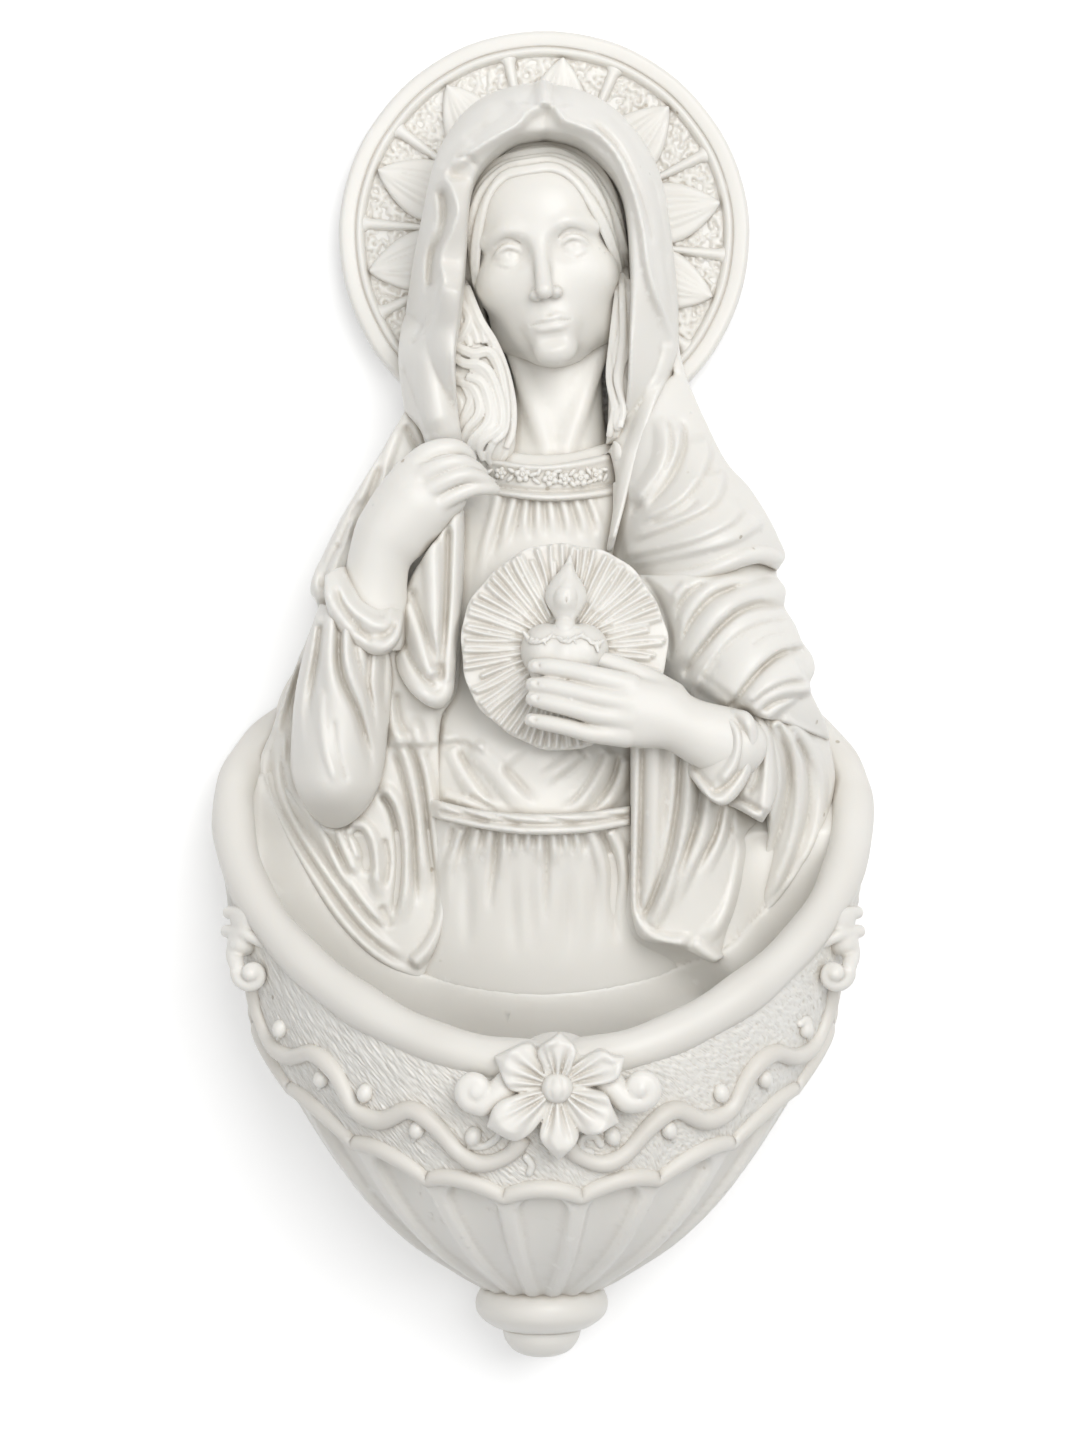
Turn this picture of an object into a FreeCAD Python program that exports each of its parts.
"""Wall-hung holy water stoup with a veiled half-length figure in high relief, in cast resin.

Frame, in millimetres: X runs to the right, Y into the wall and Z up. The flat back lies in the
plane Y = 0, and the origin is on that plane, behind the ray disc in front of the breast.
A depth is a distance in front of the wall, so a point at depth d has Y = -d. Left and right in
the pieces' names are the figure's own, so the right hand is on the -X side.
"""
import FreeCAD, Part
import math
import os

# Back plate and halo
PLATE_T = 5.0            # thickness of the back plate and of the halo disc
HALO_X = 0.2
HALO_Z = 75.9            # height of the halo's centre
HALO_R = 31.8
HALO_RING_W = 3.0        # width of the flat ring round the halo
HALO_RING_T = 1.6        # height of the ring above the disc
SPOKE_W = 1.7
SPOKE_T = 1.3
SPOKE_INNER_R = 12.0
SPOKE_ANGLES = [-38, -6, 27, 67, 101.5, 144, 176, 205]
LEAF_T = 1.8
LEAF_W = 8.4
LEAF_INNER_R = 12.5
LEAF_TIP_GAP = 1.3       # from a leaf's tip to the ring
LEAF_ANGLES = [-20, 10.5, 46, 84, 123, 158.5, 191.5]

# Ray disc, heart and flame
DISC_X = 3.1
DISC_Z = 11.5
DISC_R = 15.5
DISC_BACK = 25.5         # depth of the disc's back
DISC_T = 3.5
RAY_COUNT = 48
RAY_W = 0.8
RAY_CUT = 0.7
RAY_INNER_R = 5.0
DISC_SEAT_INSET = 1.5    # how far the seat behind the disc stays inside its edge
HEART_T = 5.5
GARLAND_R = 0.6
FLAME_T = 4.6

# Hands
FINGER_R = 1.35
FINGER_RISE = 6.55       # from the disc's front out to a finger's tip
FINGER_EDGE = 2.6        # from the disc's front out to the sides of a finger
KNUCKLE_RISE = 0.6       # of a finger's root in front of its tip
PALM_RISE = 7.0
PALM_EDGE_DROP = 3.0     # from the disc's front back to the palm's edge
HAND_BACK = 20.0         # depth of the back of the left hand, beside the disc

# Collar of the dress
COLLAR_STUDS = 8
COLLAR_STUD_R = 1.2
COLLAR_STUD_T = 1.1
COLLAR_STUD_Z = 37.4
COLLAR_STUD_CURVE = 0.012

# Basin: each level gives height, half-width, front depth and depth of the widest line
WALL = 3.5
BASIN_LEVELS = [
    (4.0, 49.0, 49.6, 12.0),
    (-12.0, 49.0, 49.6, 12.0),
    (-25.0, 48.3, 49.6, 12.0),
    (-38.0, 45.8, 49.6, 12.0),
    (-50.0, 41.8, 49.4, 12.0),
    (-60.0, 36.4, 48.4, 12.0),
    (-70.0, 29.6, 44.4, 12.0),
    (-78.0, 22.0, 36.6, 11.6),
    (-84.0, 13.6, 26.0, 11.0),
    (-86.6, 9.4, 19.9, 10.5),
]
BACK_SWEEP = 1.75        # semi-depth behind the widest line, as a multiple of that line's depth
FLOOR_Z = -79.0          # inside bottom of the basin
RIM_TOP_Z = 0.8          # where the rim's plane meets the wall
RIM_SLOPE = 1.02         # fall of the rim's plane for each millimetre forward
RIM_ROLL_R = 3.1
RIM_INSET = 1.5          # from the bowl's side in to the middle of the roll
BEAD_TOP_Z = -37.5       # where the bead's plane meets the wall
BEAD_SLOPE = 0.64
BEAD_R = 1.2
BEAD_LIFT = 0.3          # from the bowl's side out to the middle of the bead
PANEL_COUNT = 9
FLUTE_DEPTH = 1.3
FLUTE_INSET = 0.3        # how far the ribs between the flutes lie under the frieze
VINE_R = 1.25
VINE_LIFT = 0.2          # from the bowl's side out to the middle of the vine
BERRY_R = 1.15
BERRY_LIFT = 0.3

# Rosette and scrolls
ROSETTE_X = 2.0
ROSETTE_Z = -51.2
ROSETTE_FRONT = 54.6     # depth of the petals' tips
ROSETTE_CUP = 1.2        # how much deeper the petals lie at the button
ROSETTE_BACK = 40.0
PETAL_EDGE_DROP = 1.5    # of a petal's edge below its middle
PETAL_W = 7.6
PETAL_OUTLINE = [        # shares of a petal's length and of half its width
    (0.0, 0.4), (0.42, 0.95), (0.74, 1.0), (1.0, 0.0),
    (0.74, -1.0), (0.42, -0.95), (0.0, -0.4)]
PETALS = [               # direction and length of each
    (90.0, 7.8), (26.0, 10.6), (-28.0, 9.8), (-85.5, 10.5), (205.5, 11.2), (155.5, 9.8)]
BUTTON_R = 2.3
BUTTON_LIFT = 0.4        # of the button's centre in front of the petals round it
FRONT_SCROLL_R = 2.1
FRONT_SCROLL_DEPTH = 52.4
FRONT_SCROLLS = [(-10.2, -51.4), (14.4, -51.4)]
KNOT_R = 3.4
KNOT = (43.4, 26.0, -30.8)   # x, depth and height of the knot on the +X side
VOLUTE_R = 1.9
VOLUTE_DEPTH = 31.5
VOLUTE = (43.0, -36.8)

# Finial
FINIAL_X = -0.2
FINIAL_DEPTH = 10.5
COLLAR_R = 10.2
COLLAR_TOP_R = 9.4
COLLAR_WAIST_R = 9.3
COLLAR_H = 6.2
NECK_R = 6.4
BALL_R = 6.0
BALL_SINK = 1.5          # how far the ball's centre lies above the collar's foot

# Hanger in the back
HANGER_Z = 78.0
HANGER_W = 24.0
HANGER_H = 12.0
HANGER_T = 1.2
KEYHOLE_R = 3.6
KEYHOLE_SLOT_W = 3.4
KEYHOLE_RISE = 4.2
KEYHOLE_POCKET = 4.2     # depth of the hollow for a nail's head
KEYHOLE_CLEAR = 1.4      # room round the keyhole inside the hollow
HANGER_SCREW_X = 9.4
HANGER_SCREW_R = 1.1
HANGER_SCREW_L = 3.8
HANGER_SCREW_HEAD_R = 2.1
HANGER_SCREW_HEAD_T = 0.8

FAR = 80.0               # a depth in front of everything
FIGURE_AT_RIM = 20.0     # depth that the figure keeps to beside the basin's sides
GRID = 12                # spans of a front surface each way
FINE_GRID = 30           # spans of the rosette's front and of the left hand's

# Cloth
LINING_DROP = 3.5        # how much deeper the veil's lining lies than its outside
FOLD_SINK = 0.35         # share of a fold's radius from its middle down to the cloth


def point(x, depth, z):
    return FreeCAD.Vector(x, -depth, z)


def run(points):
    """One smooth stretch of an outline: a straight line through two points, else a spline."""
    places = [point(x, 0, z) for x, z in points]
    if len(places) == 2:
        return Part.LineSegment(places[0], places[1]).toShape()
    curve = Part.BSplineCurve()
    curve.interpolate(places)
    return curve.toShape()


def outline(*runs):
    """A face in the wall plane, bounded by smooth runs that meet end to end."""
    edges = [run(points) for points in runs]
    if runs[0][0] != runs[-1][-1]:
        edges.append(run([runs[-1][-1], runs[0][0]]))
    return Part.Face(Part.Wire(edges))


def loop(points):
    """A face in the wall plane, bounded by one smooth closed curve."""
    curve = Part.BSplineCurve()
    curve.interpolate([point(x, 0, z) for x, z in points], True)
    return Part.Face(Part.Wire([curve.toShape()]))


def disc_face(x, z, radius):
    circle = Part.Circle(point(x, 0, z), FreeCAD.Vector(0, 1, 0), radius)
    return Part.Face(Part.Wire([circle.toShape()]))


def prism(face, near, far):
    """The face carried from depth near to depth far."""
    moved = face.copy()
    moved.translate(FreeCAD.Vector(0, -near, 0))
    return moved.extrude(FreeCAD.Vector(0, near - far, 0))


def tidy(shape):
    """The shape's solids, without the empty shells that a cut can leave."""
    solids = [solid for solid in shape.Solids if solid.Volume > 0.01]
    if len(solids) == 1:
        return solids[0]
    return Part.makeCompound(solids)


def dome(start, end, reach, crown, edge, end_crown=None, fullness=2):
    """Front depth of a rounded form along the line start-end: crown on it, edge at the reach."""
    along = (end[0] - start[0], end[1] - start[1])
    length2 = along[0] ** 2 + along[1] ** 2
    last = crown if end_crown is None else end_crown

    def depth(x, z):
        share = ((x - start[0]) * along[0] + (z - start[1]) * along[1]) / length2
        share = min(1.0, max(0.0, share))
        away = math.hypot(x - start[0] - share * along[0], z - start[1] - share * along[1])
        top = crown + share * (last - crown)
        return edge + (top - edge) * max(0.0, 1.0 - (away / reach) ** fullness)

    return depth


def highest(*fronts):
    return lambda x, z: max(front(x, z) for front in fronts)


def relief(face, back, front, spans=GRID):
    """A piece that stands on the depth back and has the given front surface."""
    box = face.BoundBox
    margin = 0.06 * (box.XLength + box.ZLength)
    rows = []
    for i in range(spans + 1):
        x = box.XMin - margin + i * (box.XLength + 2 * margin) / spans
        row = []
        for j in range(spans + 1):
            z = box.ZMin - margin + j * (box.ZLength + 2 * margin) / spans
            row.append(point(x, front(x, z), z))
        rows.append(row)
    surface = Part.BSplineSurface()
    surface.interpolate(rows)
    mass = surface.toShape().extrude(FreeCAD.Vector(0, FAR, 0))
    return prism(face, back, FAR).common(mass)


# ---------------------------------------------------------------- basin


def level_at(z):
    """Half-width, front depth and depth of the widest line at a height, between the levels."""
    for upper, lower in zip(BASIN_LEVELS, BASIN_LEVELS[1:]):
        if z >= lower[0]:
            share = (upper[0] - z) / (upper[0] - lower[0])
            return [u + share * (v - u) for u, v in zip(upper[1:], lower[1:])]
    return list(BASIN_LEVELS[-1][1:])


def smooth_edge(points):
    curve = Part.BSplineCurve()
    curve.interpolate(points)
    return curve.toShape()


def section(z, half_width, front, middle, flute):
    """A level outline of the bowl: flat on the wall, swept sides and panels round the front."""
    front_reach = front - middle
    back_reach = BACK_SWEEP * middle
    at_wall = math.asin(middle / back_reach)
    back = []
    for i in range(5):
        turn = at_wall * (1 - i / 4)
        back.append((half_width * math.cos(turn), middle - back_reach * math.sin(turn)))
    edges = [smooth_edge([point(x, d, z) for x, d in back])]
    panel = math.pi / PANEL_COUNT
    for i in range(PANEL_COUNT):
        places = []
        for j in range(5):
            turn = (i + j / 4) * panel
            inward = flute * (1 - (j / 2 - 1) ** 2)
            x = (half_width - inward) * math.cos(turn)
            d = middle + (front_reach - inward) * math.sin(turn)
            places.append(point(x, d, z))
        edges.append(smooth_edge(places))
    edges.append(smooth_edge([point(-x, d, z) for x, d in reversed(back)]))
    left, right = back[0][0], -back[0][0]
    edges.append(Part.LineSegment(point(right, 0, z), point(left, 0, z)).toShape())
    return Part.Wire(edges)


def bowl_mass(grow, flute):
    """The bowl as a filled mass, grown outward by a distance, with or without its flutes."""
    wires = []
    for z, half_width, front, middle in BASIN_LEVELS:
        deep = flute * min(1.0, half_width / 20.0)
        wires.append(section(z, half_width + grow, front + grow, middle, deep))
    return Part.makeLoft(wires, True, False)


def bowl_hollow():
    """The space for the water, open at the top and flat at the back."""
    wires = []
    for z in [4.0, -12.0, -25.0, -38.0, -50.0, -60.0, -69.0, -75.0, FLOOR_Z]:
        half_width, front, middle = level_at(z)
        floor_draw = 6.0 if z == FLOOR_Z else 0.0
        reach_x = half_width - WALL - floor_draw
        reach_d = front - WALL - middle - floor_draw
        places = []
        for i in range(17):
            turn = math.pi * i / 16
            places.append(point(reach_x * math.cos(turn), middle + reach_d * math.sin(turn), z))
        chord = Part.LineSegment(places[-1], places[0]).toShape()
        wires.append(Part.Wire([smooth_edge(places), chord]))
    return Part.makeLoft(wires, True, False)


def below(wall_z, slope):
    """Everything under a plane that meets the wall at wall_z and falls forward."""
    run_out = 200.0
    corners = [
        point(-150, -run_out, wall_z + slope * run_out),
        point(-150, run_out, wall_z - slope * run_out),
        point(-150, run_out, wall_z - slope * run_out - 400),
        point(-150, -run_out, wall_z + slope * run_out - 400),
    ]
    side = Part.Face(Part.makePolygon(corners + corners[:1]))
    return side.extrude(FreeCAD.Vector(300, 0, 0))


def widest_line_path(half_width, front, middle, start_depth, height):
    """Points round the bowl, seen from above, from the wall on the +X side to the -X side."""
    front_reach = front - middle
    back_reach = BACK_SWEEP * middle
    start = math.asin((middle - start_depth) / back_reach)
    places = []
    for i in range(4):
        turn = start * (1 - i / 4)
        places.append((half_width * math.cos(turn), middle - back_reach * math.sin(turn)))
    for i in range(17):
        turn = math.pi * i / 16
        places.append((half_width * math.cos(turn), middle + front_reach * math.sin(turn)))
    for x, d in reversed(places[:4]):
        places.append((-x, d))
    return [point(x, d, height(d)) for x, d in places]


def pipe(places, radius):
    """A round bar along a smooth line through the places."""
    path = smooth_edge(places)
    ahead = path.tangentAt(path.FirstParameter)
    ring = Part.Wire([Part.Circle(places[0], ahead, radius).toShape()])
    return Part.Wire([path]).makePipeShell([ring], True, True)


def rim_roll():
    """The thick rolled lip along the basin's edge, from the wall round to the wall."""
    _, half_width, front, middle = BASIN_LEVELS[1]
    places = widest_line_path(
        half_width - RIM_INSET, front - RIM_INSET, middle, -RIM_ROLL_R,
        lambda depth: RIM_TOP_Z - RIM_SLOPE * depth)
    in_front_of_wall = Part.makeBox(300, 100, 300, FreeCAD.Vector(-150, -100, -200))
    return pipe(places, RIM_ROLL_R).common(in_front_of_wall)


def on_bowl(x, z, lift):
    """The point of the bowl's front at a place in the wall plane, lifted off its side."""
    half_width, front, middle = level_at(z)
    turn = math.acos(x / half_width)
    depth = middle + (front + lift - middle) * math.sin(turn)
    return point((half_width + lift) * math.cos(turn), depth, z)


def bead_path():
    """Points of the bead's middle, round the bowl in the bead's own slanting plane."""
    places = []
    for i in range(25):
        turn = math.pi * i / 24
        depth = 30.0
        for _ in range(12):
            half_width, front, middle = level_at(BEAD_TOP_Z - BEAD_SLOPE * depth)
            depth = middle + (front + BEAD_LIFT - middle) * math.sin(turn)
        height = BEAD_TOP_Z - BEAD_SLOPE * depth
        places.append(point((half_width + BEAD_LIFT) * math.cos(turn), depth, height))
    return places


def petal(angle, length):
    """One petal of the rosette, from its centre out to its tip."""
    turn = math.radians(angle)
    half = PETAL_W / 2
    places = []
    for along, across in PETAL_OUTLINE:
        u = length * along
        v = half * across
        places.append((
            ROSETTE_X + u * math.cos(turn) - v * math.sin(turn),
            ROSETTE_Z + u * math.sin(turn) + v * math.cos(turn)))
    return loop(places)


def rosette():
    petals = [petal(angle, length) for angle, length in PETALS]
    face = petals[0].fuse(petals[1:]).removeSplitter().Faces[0]
    fronts = []
    for angle, length in PETALS:
        turn = math.radians(angle)
        inner = (ROSETTE_X + BUTTON_R * math.cos(turn), ROSETTE_Z + BUTTON_R * math.sin(turn))
        reach = length - BUTTON_R / 2
        outer = (ROSETTE_X + reach * math.cos(turn), ROSETTE_Z + reach * math.sin(turn))
        deep = ROSETTE_FRONT - ROSETTE_CUP
        fronts.append(dome(
            inner, outer, PETAL_W / 2, deep, deep - PETAL_EDGE_DROP, ROSETTE_FRONT))
    return relief(face, ROSETTE_BACK, highest(*fronts), FINE_GRID)


def revolved(x, depth, profile):
    """A turned solid about an upright axis; the profile's runs hold radius and height."""
    edges = []
    for points in profile:
        places = [point(x + radius, depth, z) for radius, z in points]
        if len(places) == 2:
            edges.append(Part.LineSegment(places[0], places[1]).toShape())
        else:
            edges.append(smooth_edge(places))
    face = Part.Face(Part.Wire(edges))
    return face.revolve(point(x, depth, 0), FreeCAD.Vector(0, 0, 1), 360)


def basin_nodes(body):
    """The basin, what is laid on its outside, and the finial under it."""
    nodes = {}
    under_bead = below(BEAD_TOP_Z, BEAD_SLOPE)
    under_rim = below(RIM_TOP_Z, RIM_SLOPE)
    smooth = bowl_mass(0, 0)
    fluted = bowl_mass(-FLUTE_INSET, FLUTE_DEPTH).common(under_bead)
    bowl = smooth.cut(under_bead).fuse(fluted)
    roll = rim_roll()
    nodes["basin_shell"] = bowl.common(under_rim).cut([bowl_hollow(), roll, prism(body, -1, FAR)])
    nodes["basin_rim"] = roll.cut(prism(body, -1, FIGURE_AT_RIM))
    flower = rosette().cut(bowl).cut(roll)
    nodes["rosette"] = flower
    button_depth = ROSETTE_FRONT - ROSETTE_CUP + BUTTON_LIFT
    button = Part.makeSphere(BUTTON_R, point(ROSETTE_X, button_depth, ROSETTE_Z))
    nodes["rosette_button"] = tidy(button.cut(flower))
    scrolls = []
    for x, z in FRONT_SCROLLS:
        bar = prism(disc_face(x, z, FRONT_SCROLL_R), ROSETTE_BACK, FRONT_SCROLL_DEPTH)
        scrolls.append(bar.cut(bowl).cut(roll).cut(flower))
    for side in (1, -1):
        knot = Part.makeSphere(KNOT_R, point(side * KNOT[0], KNOT[1], KNOT[2]))
        curl = prism(disc_face(side * VOLUTE[0], VOLUTE[1], VOLUTE_R), KNOT[1], VOLUTE_DEPTH)
        scrolls.append(knot.cut(smooth).cut(roll))
        scrolls.append(curl.cut(smooth).cut(roll).cut(knot))
    nodes["rim_scrolls"] = tidy(Part.makeCompound(scrolls))
    vines = []
    berries = []
    for side in (1, -1):
        stem = pipe([on_bowl(side * x, z, VINE_LIFT) for x, z in VINE], VINE_R)
        vines.append(stem.cut(smooth).cut(roll).cut(flower).cut(nodes["rim_scrolls"]))
        for x, z in BERRIES:
            berries.append(Part.makeSphere(BERRY_R, on_bowl(side * x, z, BERRY_LIFT)))
    nodes["vine"] = tidy(Part.makeCompound(vines))
    berries = Part.makeCompound(berries).cut(smooth)
    for vine in vines:
        berries = berries.cut(vine)
    nodes["vine_berries"] = tidy(berries)
    nodes["scallop_bead"] = tidy(pipe(bead_path(), BEAD_R).cut(bowl))
    foot = BASIN_LEVELS[-1][0]
    low = foot - COLLAR_H
    nodes["finial_collar"] = revolved(FINIAL_X, FINIAL_DEPTH, [
        [(0, foot), (COLLAR_TOP_R, foot)],
        [(COLLAR_TOP_R, foot), (COLLAR_R, foot - 0.3 * COLLAR_H),
         (COLLAR_WAIST_R, foot - 0.66 * COLLAR_H), (NECK_R, low)],
        [(NECK_R, low), (0, low)],
        [(0, low), (0, foot)],
    ])
    ball = Part.makeSphere(BALL_R, point(FINIAL_X, FINIAL_DEPTH, low + BALL_SINK))
    nodes["finial_ball"] = ball.common(below(low, 0))
    return nodes


VINE = [
    (43.2, -37.5), (42.2, -43.2), (40.2, -47.6), (37.0, -49.2), (33.2, -48.1), (29.8, -50.6),
    (26.9, -55.7), (23.1, -57.2), (18.8, -55.3), (15.3, -57.3), (11.8, -61.2), (8.6, -62.7),
    (4.9, -61.4), (2.6, -58.6)]
BERRIES = [(38.4, -45.0), (32.0, -51.8), (25.4, -53.3), (17.8, -58.1), (9.8, -58.7)]

# ---------------------------------------------------------------- outlines of the figure

SILHOUETTE_LEFT = [
    (43.6, -1.7), (42.4, 0.8), (40.8, 3.5), (39.9, 5.7), (40.8, 8.0), (40.5, 10.4), (38.8, 12.6),
    (37.9, 15.0), (36.5, 17.6), (36.7, 20.4), (35.4, 22.8), (36.7, 25.4), (35.6, 27.9),
    (34.1, 30.8), (31.1, 35.6), (27.6, 39.5), (24.5, 46.0), (21.9, 52.4)]
VEIL_EDGE_LEFT = [
    (21.9, 52.4), (20.8, 57.5), (20.6, 66.0), (18.9, 78.0), (16.4, 86.0), (9.6, 94.3), (0.0, 98.3)]
VEIL_EDGE_RIGHT = [
    (0.0, 98.3), (-9.2, 95.9), (-15.0, 88.5), (-17.8, 79.0), (-20.6, 67.0), (-22.1, 56.5),
    (-21.2, 47.8)]
SILHOUETTE_RIGHT = [
    (-21.2, 47.8), (-26.0, 39.2), (-31.6, 29.6), (-35.3, 21.0), (-34.3, 17.6), (-37.4, 10.2),
    (-41.5, 0.3)]
LOWER_EDGE = [
    (-41.5, 0.3), (-43.9, -8.5), (-37.2, -21.8), (-30.2, -31.8), (-20.0, -38.6), (0.0, -41.6),
    (20.0, -38.4), (31.5, -32.0), (40.5, -20.0), (44.8, -9.8), (43.6, -1.7)]

OPENING_RIGHT = [
    (0.3, 88.4), (-5.4, 86.8), (-10.6, 81.2), (-11.8, 71.0), (-12.6, 61.5), (-13.5, 54.0),
    (-12.4, 43.0), (-9.3, 40.5)]
OPENING_FOOT = [(-9.3, 40.5), (-5.0, 39.6), (0.0, 39.1), (5.0, 39.6), (10.2, 41.2)]
OPENING_LEFT = [
    (10.2, 41.2), (12.6, 47.0), (13.3, 58.0), (13.4, 70.0), (11.8, 80.4), (6.2, 86.7), (0.3, 88.4)]


def figure_faces():
    """Areas of the figure in the wall plane. They share their edges and never overlap."""
    body = outline(SILHOUETTE_LEFT, VEIL_EDGE_LEFT, VEIL_EDGE_RIGHT, SILHOUETTE_RIGHT, LOWER_EDGE)
    opening = outline(OPENING_RIGHT, OPENING_FOOT, OPENING_LEFT)
    areas = {}
    areas["hair_crown"] = opening.common(outline(
        [(-14, 74.5), (-10.6, 77.5), (-7.4, 83.2), (-1.5, 86.6), (5.6, 84.2), (10.4, 79.4),
         (11.9, 71.0), (15, 69.0)],
        [(15, 69.0), (15, 92)], [(15, 92), (-14, 92)]))
    areas["hair_right_lock"] = opening.common(outline(
        [(-15, 66.5), (-11.0, 63.4), (-9.2, 57.4), (-5.4, 52.0), (-4.2, 46.0), (-5.4, 41.4),
         (-6.4, 38.0)],
        [(-6.4, 38.0), (-15, 38.0)]))
    areas["hair_left_lock"] = opening.common(outline(
        [(15, 62.0), (10.9, 60.0), (10.0, 54.0), (10.3, 49.0), (9.4, 44.0), (9.9, 38.0)],
        [(9.9, 38.0), (15, 38.0)]))
    areas["head"] = opening
    areas["right_hand"] = outline(
        [(-23.4, 15.0), (-21.8, 20.5), (-18.0, 26.2), (-11.0, 32.8), (-7.0, 36.0), (-9.8, 39.6),
         (-14.0, 42.2), (-18.5, 40.6), (-24.5, 34.8), (-28.8, 29.0), (-30.3, 22.4)],
        [(-30.3, 22.4), (-28.2, 17.2), (-23.4, 15.0)])
    areas["right_cuff"] = loop(
        [(-32.5, 22.0), (-31.8, 16.6), (-29.0, 12.4), (-24.4, 10.2), (-21.2, 13.0), (-22.4, 19.4),
         (-25.5, 20.0), (-29.5, 23.5)])
    areas["mantle_right_fold"] = outline(
        [(-11.9, 33.0), (-12.0, 22.0), (-13.0, 9.0), (-13.6, 4.2), (-16.0, 2.3), (-19.6, 4.6),
         (-22.2, 9.0), (-22.6, 14.0)],
        [(-22.6, 14.0), (-20.4, 21.0), (-16.0, 27.5), (-11.9, 33.0)])
    areas["right_sleeve"] = loop(
        [(-33.4, 18.0), (-36.6, 8.0), (-37.8, 0.0), (-37.6, -8.0), (-33.8, -14.8), (-29.4, -15.2),
         (-25.0, -10.0), (-23.3, -1.0), (-22.8, 9.0), (-26.0, 16.0)])
    areas["veil"] = outline(
        VEIL_EDGE_LEFT, VEIL_EDGE_RIGHT,
        [(-21.2, 47.8), (-18.6, 44.6), (-17.6, 41.2)],
        [(-17.6, 41.2), (-11.5, 39.6), (-9.3, 40.5)], OPENING_FOOT,
        [(10.2, 41.2), (11.3, 37.0), (10.6, 31.0), (10.0, 26.0)],
        [(10.0, 26.0), (13.4, 25.6)],
        [(13.4, 25.6), (14.0, 34.0), (16.4, 43.0), (20.6, 50.6), (21.9, 52.4)])
    areas["collar_band"] = outline(
        [(-13.0, 41.4), (-9.3, 40.5), (0.0, 39.1), (10.2, 41.2), (14.0, 42.0)],
        [(14.0, 42.0), (14.0, 36.0)],
        [(14.0, 36.0), (10.0, 34.6), (0.6, 33.6), (-9.0, 35.0), (-13.0, 36.0)])
    areas["sash"] = outline(
        [(-15.8, -11.6), (-10.0, -12.8), (-2.0, -13.4), (6.0, -13.2), (13.2, -12.3)],
        [(13.2, -12.3), (13.2, -15.2)],
        [(13.2, -15.2), (6.0, -16.3), (-2.0, -16.5), (-9.0, -15.7), (-15.4, -14.5)])
    areas["left_cuff"] = outline(
        [(19.6, -3.9), (23.0, -9.4), (26.4, -12.0), (29.6, -9.4), (31.9, -3.6), (30.6, 1.4),
         (27.0, 2.4)],
        [(27.0, 2.4), (22.0, 3.0)])
    areas["left_sleeve"] = outline(
        [(27.0, 2.4), (31.5, 1.8), (35.0, -3.0), (35.0, -10.0), (32.8, -14.8)],
        [(32.8, -14.8), (28.8, -12.6), (24.0, -10.6), (19.6, -3.9)])
    areas["mantle_left_panel"] = outline(
        [(13.2, -2.0), (13.2, -28.0)],
        [(13.2, -28.0), (14.8, -32.4), (20.0, -33.4), (26.8, -36.6), (31.0, -36.0)],
        [(31.0, -36.0), (32.0, -26.0), (33.6, -19.0), (32.8, -14.8)],
        [(32.8, -14.8), (28.0, -2.0), (13.2, -2.0)])
    areas["cape_left"] = outline(
        [(12.5, 31.0), (8.0, 21.6)],
        [(8.0, 21.6), (17.1, 20.4), (22.4, 20.9), (26.8, 22.1), (30.7, 23.7), (33.6, 23.9),
         (39.0, 21.6)],
        [(39.0, 21.6), (39.0, 60.0)], [(39.0, 60.0), (12.5, 60.0)], [(12.5, 60.0), (12.5, 31.0)])
    areas["left_arm_drape"] = outline(
        [(12.0, 23.0), (12.0, -1.8)],
        [(12.0, -1.8), (27.0, 0.6), (34.0, 0.6), (46.0, -3.4)],
        [(46.0, -3.4), (46.0, 28.0)], [(46.0, 28.0), (12.0, 23.0)])
    areas["mantle_left"] = outline(
        [(27.0, 2.4), (50.0, 2.4)], [(50.0, 2.4), (50.0, -40.0)], [(50.0, -40.0), (29.0, -40.0)],
        [(29.0, -40.0), (32.0, -26.0), (34.0, -14.0), (27.0, 2.4)])
    areas["mantle_right_arm"] = outline(
        [(-18.0, 50.0), (-40.0, 50.0)], [(-40.0, 50.0), (-40.0, 17.5)],
        [(-40.0, 17.5), (-20.0, 17.5)], [(-20.0, 17.5), (-16.5, 28.0), (-11.0, 34.0)],
        [(-11.0, 34.0), (-11.0, 41.6)])
    areas["mantle_right"] = outline(
        [(-60.0, 19.0), (-60.0, -42.0)], [(-60.0, -42.0), (-20.0, -42.0)],
        [(-20.0, -42.0), (-15.6, -33.0), (-14.1, -25.0), (-15.2, -14.5), (-15.8, -3.0)],
        [(-15.8, -3.0), (-15.2, 1.5), (-12.6, 6.0), (-12.6, 19.0)])
    areas["skirt"] = outline(
        [(-40.0, -14.0), (40.0, -14.0)], [(40.0, -14.0), (40.0, -60.0)],
        [(40.0, -60.0), (-40.0, -60.0)])
    areas["bodice"] = body
    faces = {}
    taken = []
    for name, area in areas.items():
        face = area.common(body)
        if taken:
            face = face.cut(taken)
        parts = sorted(face.Faces, key=lambda part: -part.Area)
        faces[name] = parts[0]
        taken.append(parts[0])
    return body, faces


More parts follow.
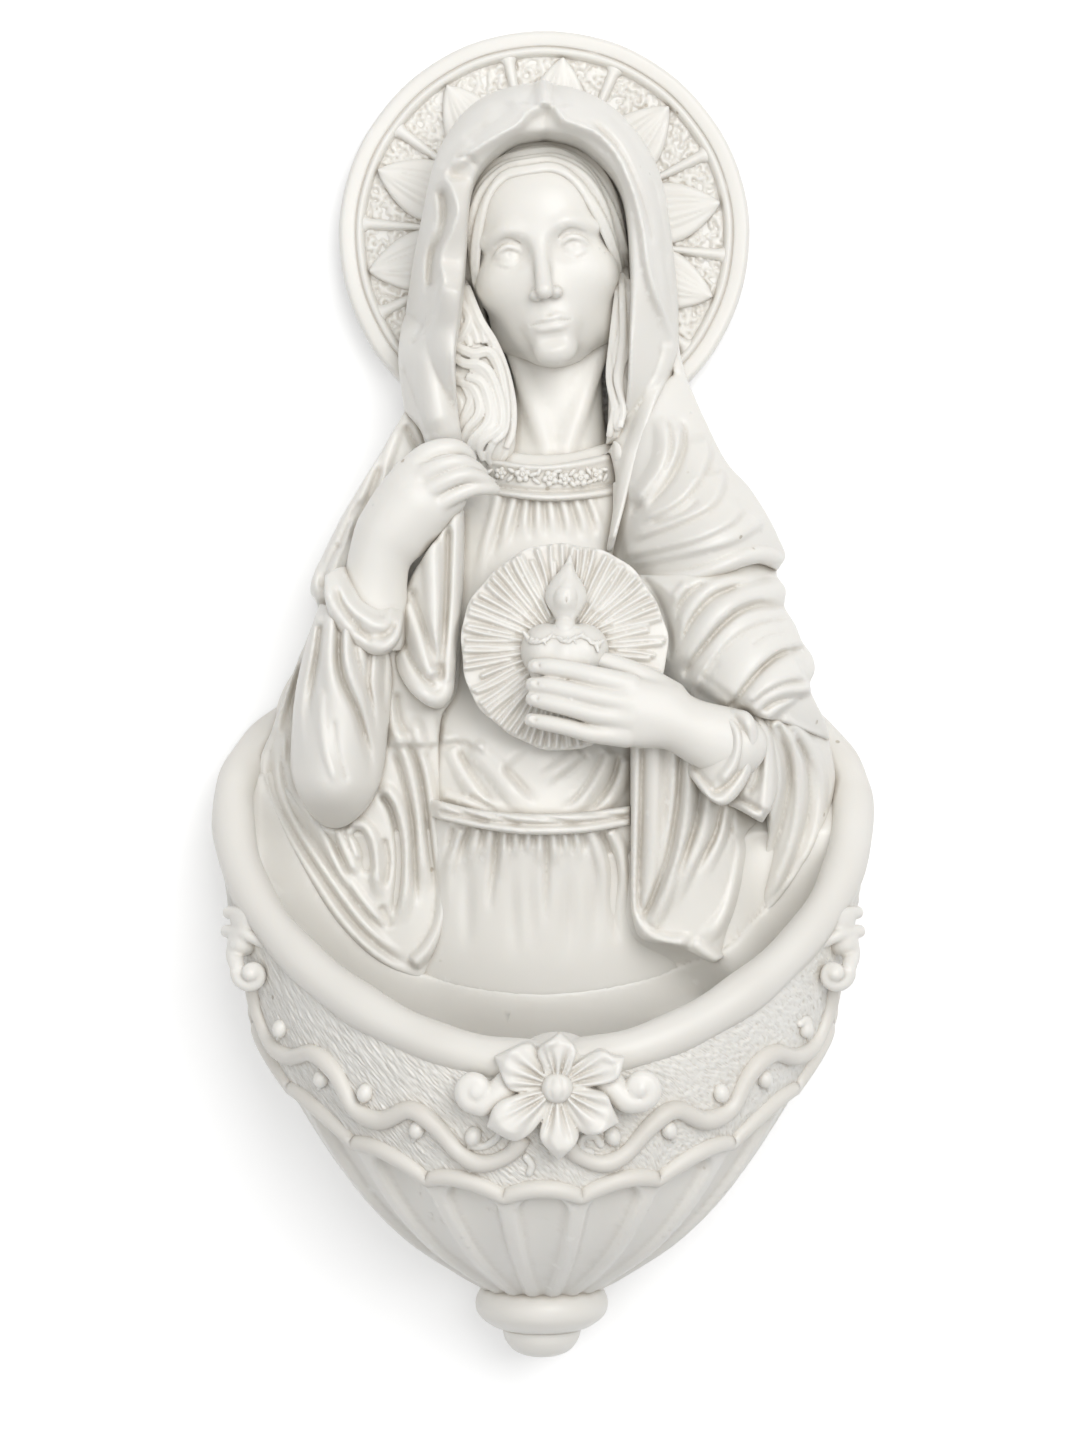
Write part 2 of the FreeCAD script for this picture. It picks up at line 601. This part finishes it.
FRONTS = {
    "hair_crown": dome((0, 66), (0, 78), 19, 27.5, 10),
    "hair_right_lock": dome((-10.5, 60), (-8.5, 44), 6.5, 20, 12),
    "hair_left_lock": dome((12, 60), (11, 42), 5, 17, 11),
    "head": highest(
        dome((-0.6, 66), (1.8, 76), 15.5, 26.5, 9),
        dome((1, 58), (1, 40), 11, 16.5, 9)),
    "right_hand": dome((-26.5, 21), (-11, 37.5), 8.5, 28.5, 20, 31),
    "right_cuff": dome((-31.5, 19), (-23.5, 12.5), 6.5, 31, 22),
    "mantle_right_fold": dome((-15, 30), (-17, 5), 7, 27, 18, 28),
    "right_sleeve": dome((-29, 14), (-31, -8), 10, 31, 15),
    "veil": highest(
        dome((0.3, 60), (0.3, 78), 22.5, 33, 8, fullness=4),
        dome((-17.5, 58), (-15, 45), 7, 23, 10),
        dome((14.5, 54), (11.8, 28), 7, 22, 11)),
    "collar_band": dome((0, 45), (0, 30), 15, 21, 12),
    "sash": dome((-1, -12), (-1, -17), 21, 27, 16),
    "left_cuff": dome((30, 1), (25.5, -10.5), 7, 34, 22),
    "left_sleeve": dome((32, 1), (32, -12), 6, 29, 17),
    "mantle_left_panel": dome((19, -4), (22, -34), 13, 28, 15, 22),
    "cape_left": dome((14, 50), (25, 27), 17, 20, 9, 30),
    "left_arm_drape": dome((23, 20), (32, 4), 15, 30, 13),
    "mantle_left": dome((33, 0), (35, -28), 13, 28, 9, 15),
    "mantle_right_arm": dome((-21, 46), (-31, 21), 8, 15, 8, 22),
    "mantle_right": dome((-22, 14), (-24, -36), 20, 23, 8, 16),
    "skirt": dome((0, -14), (0, -42), 26, 25, 10, 18),
    "bodice": dome((-1, 32), (-1, -12), 23, 20, 9, 24),
}

# The veil's hem round the face and down to both shoulders, from its peak on top.
HEM_RIGHT = [
    (0.5, 91.8), (-2.1, 90.6), (-6.1, 87.2), (-12.3, 83.6), (-14.4, 80.6), (-12.9, 76.0),
    (-15.6, 69.0), (-15.2, 64.4)]
HEM_LEFT = [
    (0.5, 91.8), (3.6, 89.0), (8.6, 87.0), (12.6, 81.3), (15.0, 73.2), (16.6, 65.0),
    (19.6, 58.2), (19.0, 51.5), (15.5, 42.6), (13.4, 28.0)]
INSIDE_HEM = (
    HEM_LEFT, [(13.4, 28.0), (8.0, 28.0)], [(8.0, 28.0), (8.0, 60.0)],
    [(8.0, 60.0), (-15.2, 64.4)], HEM_RIGHT[::-1])

# Round folds laid on the cloths' fronts, each with its radius.
FOLDS = {
    "veil": [(1.6, [(0.4, 91.6), (0.3, 94.5), (0.1, 97.6)])],
    "cape_left": [
        (1.5, [(14.4, 30.4), (17.0, 33.0), (19.4, 36.4), (21.4, 40.2), (22.3, 43.6)]),
        (1.5, [(15.2, 28.8), (18.4, 30.2), (21.6, 32.6), (23.7, 35.4), (24.5, 38.6)]),
        (1.3, [(15.2, 26.4), (20.0, 27.6), (24.0, 28.9), (28.4, 31.0)]),
        (1.3, [(17.6, 21.8), (22.0, 22.3), (26.0, 23.5), (30.0, 25.2), (34.0, 25.8)])],
    "left_arm_drape": [
        (1.7, [(34.6, 20.4), (31.6, 19.8), (28.4, 18.2), (25.4, 16.0), (23.2, 13.4), (21.4, 10.4)]),
        (1.2, [(34.8, 16.2), (31.2, 15.2), (27.8, 13.0), (25.0, 10.2), (23.0, 7.8)]),
        (2.4, [(36.0, 13.8), (33.0, 12.2), (29.8, 9.8), (27.0, 7.0)]),
        (1.1, [(29.0, 3.2), (31.0, 5.0), (34.0, 6.2), (37.0, 6.3)])],
    "mantle_left_panel": [
        (1.1, [(14.4, -3.6), (14.2, -14.0), (14.2, -25.0), (15.2, -30.0), (18.0, -31.8)]),
        (1.2, [(19.8, -4.5), (20.0, -14.0), (18.6, -23.0), (17.0, -28.6)]),
        (1.2, [(25.6, -12.4), (25.0, -18.0), (23.2, -25.0), (20.6, -31.0)])],
    "mantle_left": [
        (1.1, [(35.4, -1.2), (37.5, -5.0), (38.2, -11.0), (36.8, -19.0), (34.0, -25.0)]),
        (1.1, [(39.4, -2.0), (41.0, -6.0), (41.4, -11.0), (39.6, -16.6)])],
    "mantle_right": [
        (1.1, [(-40.6, -2.0), (-41.0, -7.0), (-39.4, -12.0), (-35.6, -18.6), (-30.2, -26.4),
               (-25.2, -32.4), (-21.6, -34.8)]),
        (1.1, [(-38.9, -1.0), (-39.2, -5.0), (-37.4, -11.0), (-33.4, -17.4), (-28.8, -24.6),
               (-25.0, -29.0)]),
        (1.2, [(-22.2, -2.0), (-20.4, -6.0), (-18.9, -12.0), (-18.2, -19.0), (-17.6, -25.0)])],
}

HEART = [
    (2.8, 14.2), (0.2, 15.4), (-2.6, 13.8), (-2.6, 10.0), (0.2, 5.4), (3.2, 2.0), (6.4, 6.0),
    (8.3, 10.4), (7.9, 14.2), (5.4, 15.4)]
GARLAND = [
    (-2.7, 12.7), (-1.0, 11.9), (1.0, 12.9), (2.9, 12.2), (4.8, 13.0), (6.6, 12.2), (8.9, 12.9)]
FLAME = [
    (3.8, 24.8), (2.4, 22.4), (0.4, 19.0), (1.6, 16.2), (3.5, 15.0), (5.3, 16.2), (6.3, 19.2),
    (4.9, 22.3)]
PALM = [
    (8.0, 7.8), (13.0, 7.0), (18.5, 6.5), (22.0, 4.0), (26.6, 2.2), (29.2, -1.0), (28.4, -5.6),
    (25.4, -8.0), (22.0, -5.4), (16.0, -3.8), (8.0, -3.2)]
FINGERS = [
    ((-0.9, 8.5), (9.4, 6.3)),
    ((-1.2, 5.8), (9.2, 3.9)),
    ((-1.3, 3.3), (9.0, 1.2)),
    ((-1.5, 0.6), (8.8, -1.5)),
]


def stadium(start, end, radius):
    """A straight strip with round ends."""
    along = FreeCAD.Vector(end[0] - start[0], 0, end[1] - start[1])
    along.normalize()
    across = FreeCAD.Vector(-along.z, 0, along.x) * radius
    first = point(start[0], 0, start[1])
    last = point(end[0], 0, end[1])
    edges = [
        Part.LineSegment(first + across, last + across).toShape(),
        Part.Arc(last + across, last + along * radius, last - across).toShape(),
        Part.LineSegment(last - across, first - across).toShape(),
        Part.Arc(first - across, first - along * radius, first + across).toShape(),
    ]
    return Part.Face(Part.Wire(edges))


def hand_and_fingers():
    """The left hand's outline and its front, four fingers laid side by side on the heart."""
    palm = outline(PALM)
    fingers = [stadium(start, end, FINGER_R) for start, end in FINGERS]
    whole = palm.fuse(fingers).removeSplitter()
    disc_front = DISC_BACK + DISC_T
    palm_top = disc_front + PALM_RISE
    fronts = [dome((8.6, 2.4), (26.0, -2.6), 8.0, palm_top, disc_front - PALM_EDGE_DROP)]
    side = disc_front + FINGER_EDGE
    for start, end in FINGERS:
        top = disc_front + FINGER_RISE
        fronts.append(dome(start, end, 1.5 * FINGER_R, top, side, top + KNUCKLE_RISE))
    return whole.Faces[0], highest(*fronts)


def ray_grooves():
    """The strips between the rays of the disc."""
    grooves = []
    for i in range(RAY_COUNT):
        turn = 2 * math.pi * i / RAY_COUNT
        ahead = FreeCAD.Vector(math.cos(turn), 0, math.sin(turn))
        across = FreeCAD.Vector(-math.sin(turn), 0, math.cos(turn)) * (RAY_W / 2)
        inner = point(DISC_X, 0, DISC_Z) + ahead * RAY_INNER_R
        outer = point(DISC_X, 0, DISC_Z) + ahead * (DISC_R + 1.0)
        corners = [inner - across, outer - across, outer + across, inner + across, inner - across]
        grooves.append(Part.Face(Part.makePolygon(corners)))
    return grooves


def lining_room(face):
    """The room in front of the veil's lining, between its hem and the face."""
    inside = face.common(outline(*INSIDE_HEM))
    outside_front = FRONTS["veil"]
    lining = relief(inside, 0, lambda x, z: outside_front(x, z) - LINING_DROP)
    return prism(inside, 0, FAR).cut(lining)


def fold(line, radius, front):
    """A round bar along a front, sunk into it, that dives below it at both ends."""
    places = [point(x, front(x, z) - FOLD_SINK * radius, z) for x, z in line]
    dive = FreeCAD.Vector(0, radius, 0)
    places[0] = places[0] + dive
    places[-1] = places[-1] + dive
    return pipe(places, radius)


def front_group():
    """Ray disc, heart, garland, flame and left hand, and the room they need in front."""
    disc_front = DISC_BACK + DISC_T
    round_face = disc_face(DISC_X, DISC_Z, DISC_R)
    hand_face, hand_front = hand_and_fingers()
    nodes = {}
    plate = prism(round_face, DISC_BACK, disc_front)
    covered = prism(hand_face, 0, FAR)
    heart_face = max(loop(HEART).cut(hand_face).Faces, key=lambda part: part.Area)
    flame_face = loop(FLAME).cut(heart_face)
    grooves = Part.makeCompound(ray_grooves()).cut([hand_face, heart_face, flame_face])
    carved = [prism(groove, disc_front - RAY_CUT, FAR) for groove in grooves.Faces]
    nodes["ray_disc"] = plate.cut(carved)
    heart_front = dome((2.8, 13), (3, 6), 6.6, disc_front + HEART_T, disc_front + 1.0)
    nodes["heart"] = relief(heart_face, disc_front, heart_front)
    garland = pipe([point(x, heart_front(x, z), z) for x, z in GARLAND], GARLAND_R)
    nodes["heart_garland"] = tidy(garland.cut([nodes["heart"], nodes["ray_disc"], covered]))
    flame_front = dome((3.5, 17.5), (3.7, 22), 3.6, disc_front + FLAME_T, disc_front + 1.2)
    nodes["flame"] = relief(flame_face, disc_front, flame_front).cut(nodes["heart_garland"])
    hand = relief(hand_face, HAND_BACK, hand_front, FINE_GRID)
    nodes["left_hand"] = hand.cut(prism(round_face, 0, disc_front))
    room = [
        prism(round_face, DISC_BACK, FAR),
        prism(hand_face.cut(round_face), HAND_BACK, FAR),
    ]
    return nodes, room


def spoke(angle):
    """One straight ray of the halo, as a face in the wall plane."""
    turn = math.radians(angle)
    outer = HALO_R - HALO_RING_W / 2
    start = (HALO_X + SPOKE_INNER_R * math.cos(turn), HALO_Z + SPOKE_INNER_R * math.sin(turn))
    end = (HALO_X + outer * math.cos(turn), HALO_Z + outer * math.sin(turn))
    return stadium(start, end, SPOKE_W / 2)


def leaf(angle):
    """One pointed leaf of the halo, bounded by two arcs."""
    turn = math.radians(angle)
    tip_r = HALO_R - HALO_RING_W - LEAF_TIP_GAP

    def place(radius, across):
        x = HALO_X + radius * math.cos(turn) - across * math.sin(turn)
        return point(x, 0, HALO_Z + radius * math.sin(turn) + across * math.cos(turn))

    middle_r = 0.5 * (LEAF_INNER_R + tip_r)
    base = place(LEAF_INNER_R, 0)
    tip = place(tip_r, 0)
    edges = [
        Part.Arc(base, place(middle_r, LEAF_W / 2), tip).toShape(),
        Part.Arc(tip, place(middle_r, -LEAF_W / 2), base).toShape(),
    ]
    return Part.Face(Part.Wire(edges))


def raised_group(faces, body, height):
    """Flat raised ornaments on the halo's disc, clear of the figure."""
    solids = []
    for face in faces:
        for part in face.cut(body).Faces:
            solids.append(prism(part, PLATE_T, PLATE_T + height))
    return tidy(Part.makeCompound(solids))


def keyhole():
    """The hole for the nail: a round entry with a slot above it."""
    entry = disc_face(HALO_X, HANGER_Z, KEYHOLE_R)
    slot = stadium((HALO_X, HANGER_Z), (HALO_X, HANGER_Z + KEYHOLE_RISE), KEYHOLE_SLOT_W / 2)
    return entry.fuse(slot).removeSplitter().Faces[0]


def halo_nodes(body):
    """The back plate, the halo and the hanger let into its back."""
    nodes = {}
    halo = disc_face(HALO_X, HALO_Z, HALO_R)
    nodes["back_plate"] = tidy(prism(body.cut(halo), 0, PLATE_T))
    inside = disc_face(HALO_X, HALO_Z, HALO_R - HALO_RING_W)
    ring = halo.cut(inside)
    nodes["halo_ring"] = raised_group([ring], body, HALO_RING_T)
    spokes = [spoke(angle).cut(ring) for angle in SPOKE_ANGLES]
    nodes["halo_spokes"] = raised_group(spokes, body, SPOKE_T)
    leaves = [leaf(angle).cut(spokes) for angle in LEAF_ANGLES]
    nodes["halo_leaves"] = raised_group(leaves, body, LEAF_T)
    recess = HANGER_SCREW_HEAD_T + HANGER_T
    corner = FreeCAD.Vector(HALO_X - HANGER_W / 2, -recess, HANGER_Z - HANGER_H / 2)
    plate = Part.makeBox(HANGER_W, HANGER_T, HANGER_H, corner)
    room = Part.makeBox(HANGER_W, recess, HANGER_H, corner)
    hollow = prism(keyhole().makeOffset2D(KEYHOLE_CLEAR), 0, KEYHOLE_POCKET)
    screws = []
    for side in (1, -1):
        x = HALO_X + side * HANGER_SCREW_X
        head = prism(disc_face(x, HANGER_Z, HANGER_SCREW_HEAD_R), 0, HANGER_SCREW_HEAD_T)
        shank = prism(disc_face(x, HANGER_Z, HANGER_SCREW_R), 0, HANGER_SCREW_HEAD_T + HANGER_SCREW_L)
        screws.append(head.fuse(shank))
    nodes["hanger_screws"] = Part.makeCompound(screws)
    nodes["hanger_plate"] = plate.cut([prism(keyhole(), 0, PLATE_T)] + screws)
    nodes["halo_disc"] = prism(halo, 0, PLATE_T).cut([room, hollow] + screws)
    return nodes


def figure_nodes():
    """The figure's pieces on the back plate and the group in front of the breast."""
    body, faces = figure_faces()
    nodes, room = front_group()
    seat = prism(disc_face(DISC_X, DISC_Z, DISC_R - DISC_SEAT_INSET), PLATE_T, DISC_BACK)
    for name, face in faces.items():
        solid = relief(face, PLATE_T, FRONTS[name])
        if name == "veil":
            solid = solid.cut(lining_room(face))
        if name in FOLDS:
            bars = [fold(line, radius, FRONTS[name]) for radius, line in FOLDS[name]]
            solid = solid.fuse([bar.common(prism(face, PLATE_T, FAR)) for bar in bars])
        if name == "bodice":
            solid = solid.fuse(seat.common(prism(face, 0, FAR)))
        nodes[name] = tidy(solid.cut(room))
    band_face = faces["collar_band"]
    box = band_face.BoundBox
    studs = []
    for i in range(COLLAR_STUDS):
        x = box.XMin + (i + 0.5) * box.XLength / COLLAR_STUDS
        z = COLLAR_STUD_Z + COLLAR_STUD_CURVE * (x - HALO_X) ** 2
        front = FRONTS["collar_band"](x, z)
        stud = prism(disc_face(x, z, COLLAR_STUD_R), PLATE_T, front + COLLAR_STUD_T)
        stud = stud.common(prism(band_face, PLATE_T, FAR)).cut(nodes["collar_band"])
        studs.append(stud)
    nodes["collar_studs"] = tidy(Part.makeCompound(studs))
    return body, nodes


def main():
    os.makedirs("parts", exist_ok=True)
    body, nodes = figure_nodes()
    nodes.update(halo_nodes(body))
    nodes.update(basin_nodes(body))
    for name, shape in nodes.items():
        shape.exportStep("parts/" + name + ".step")
        print(name, len(shape.Solids), round(shape.Volume, 1), shape.isValid())


main()
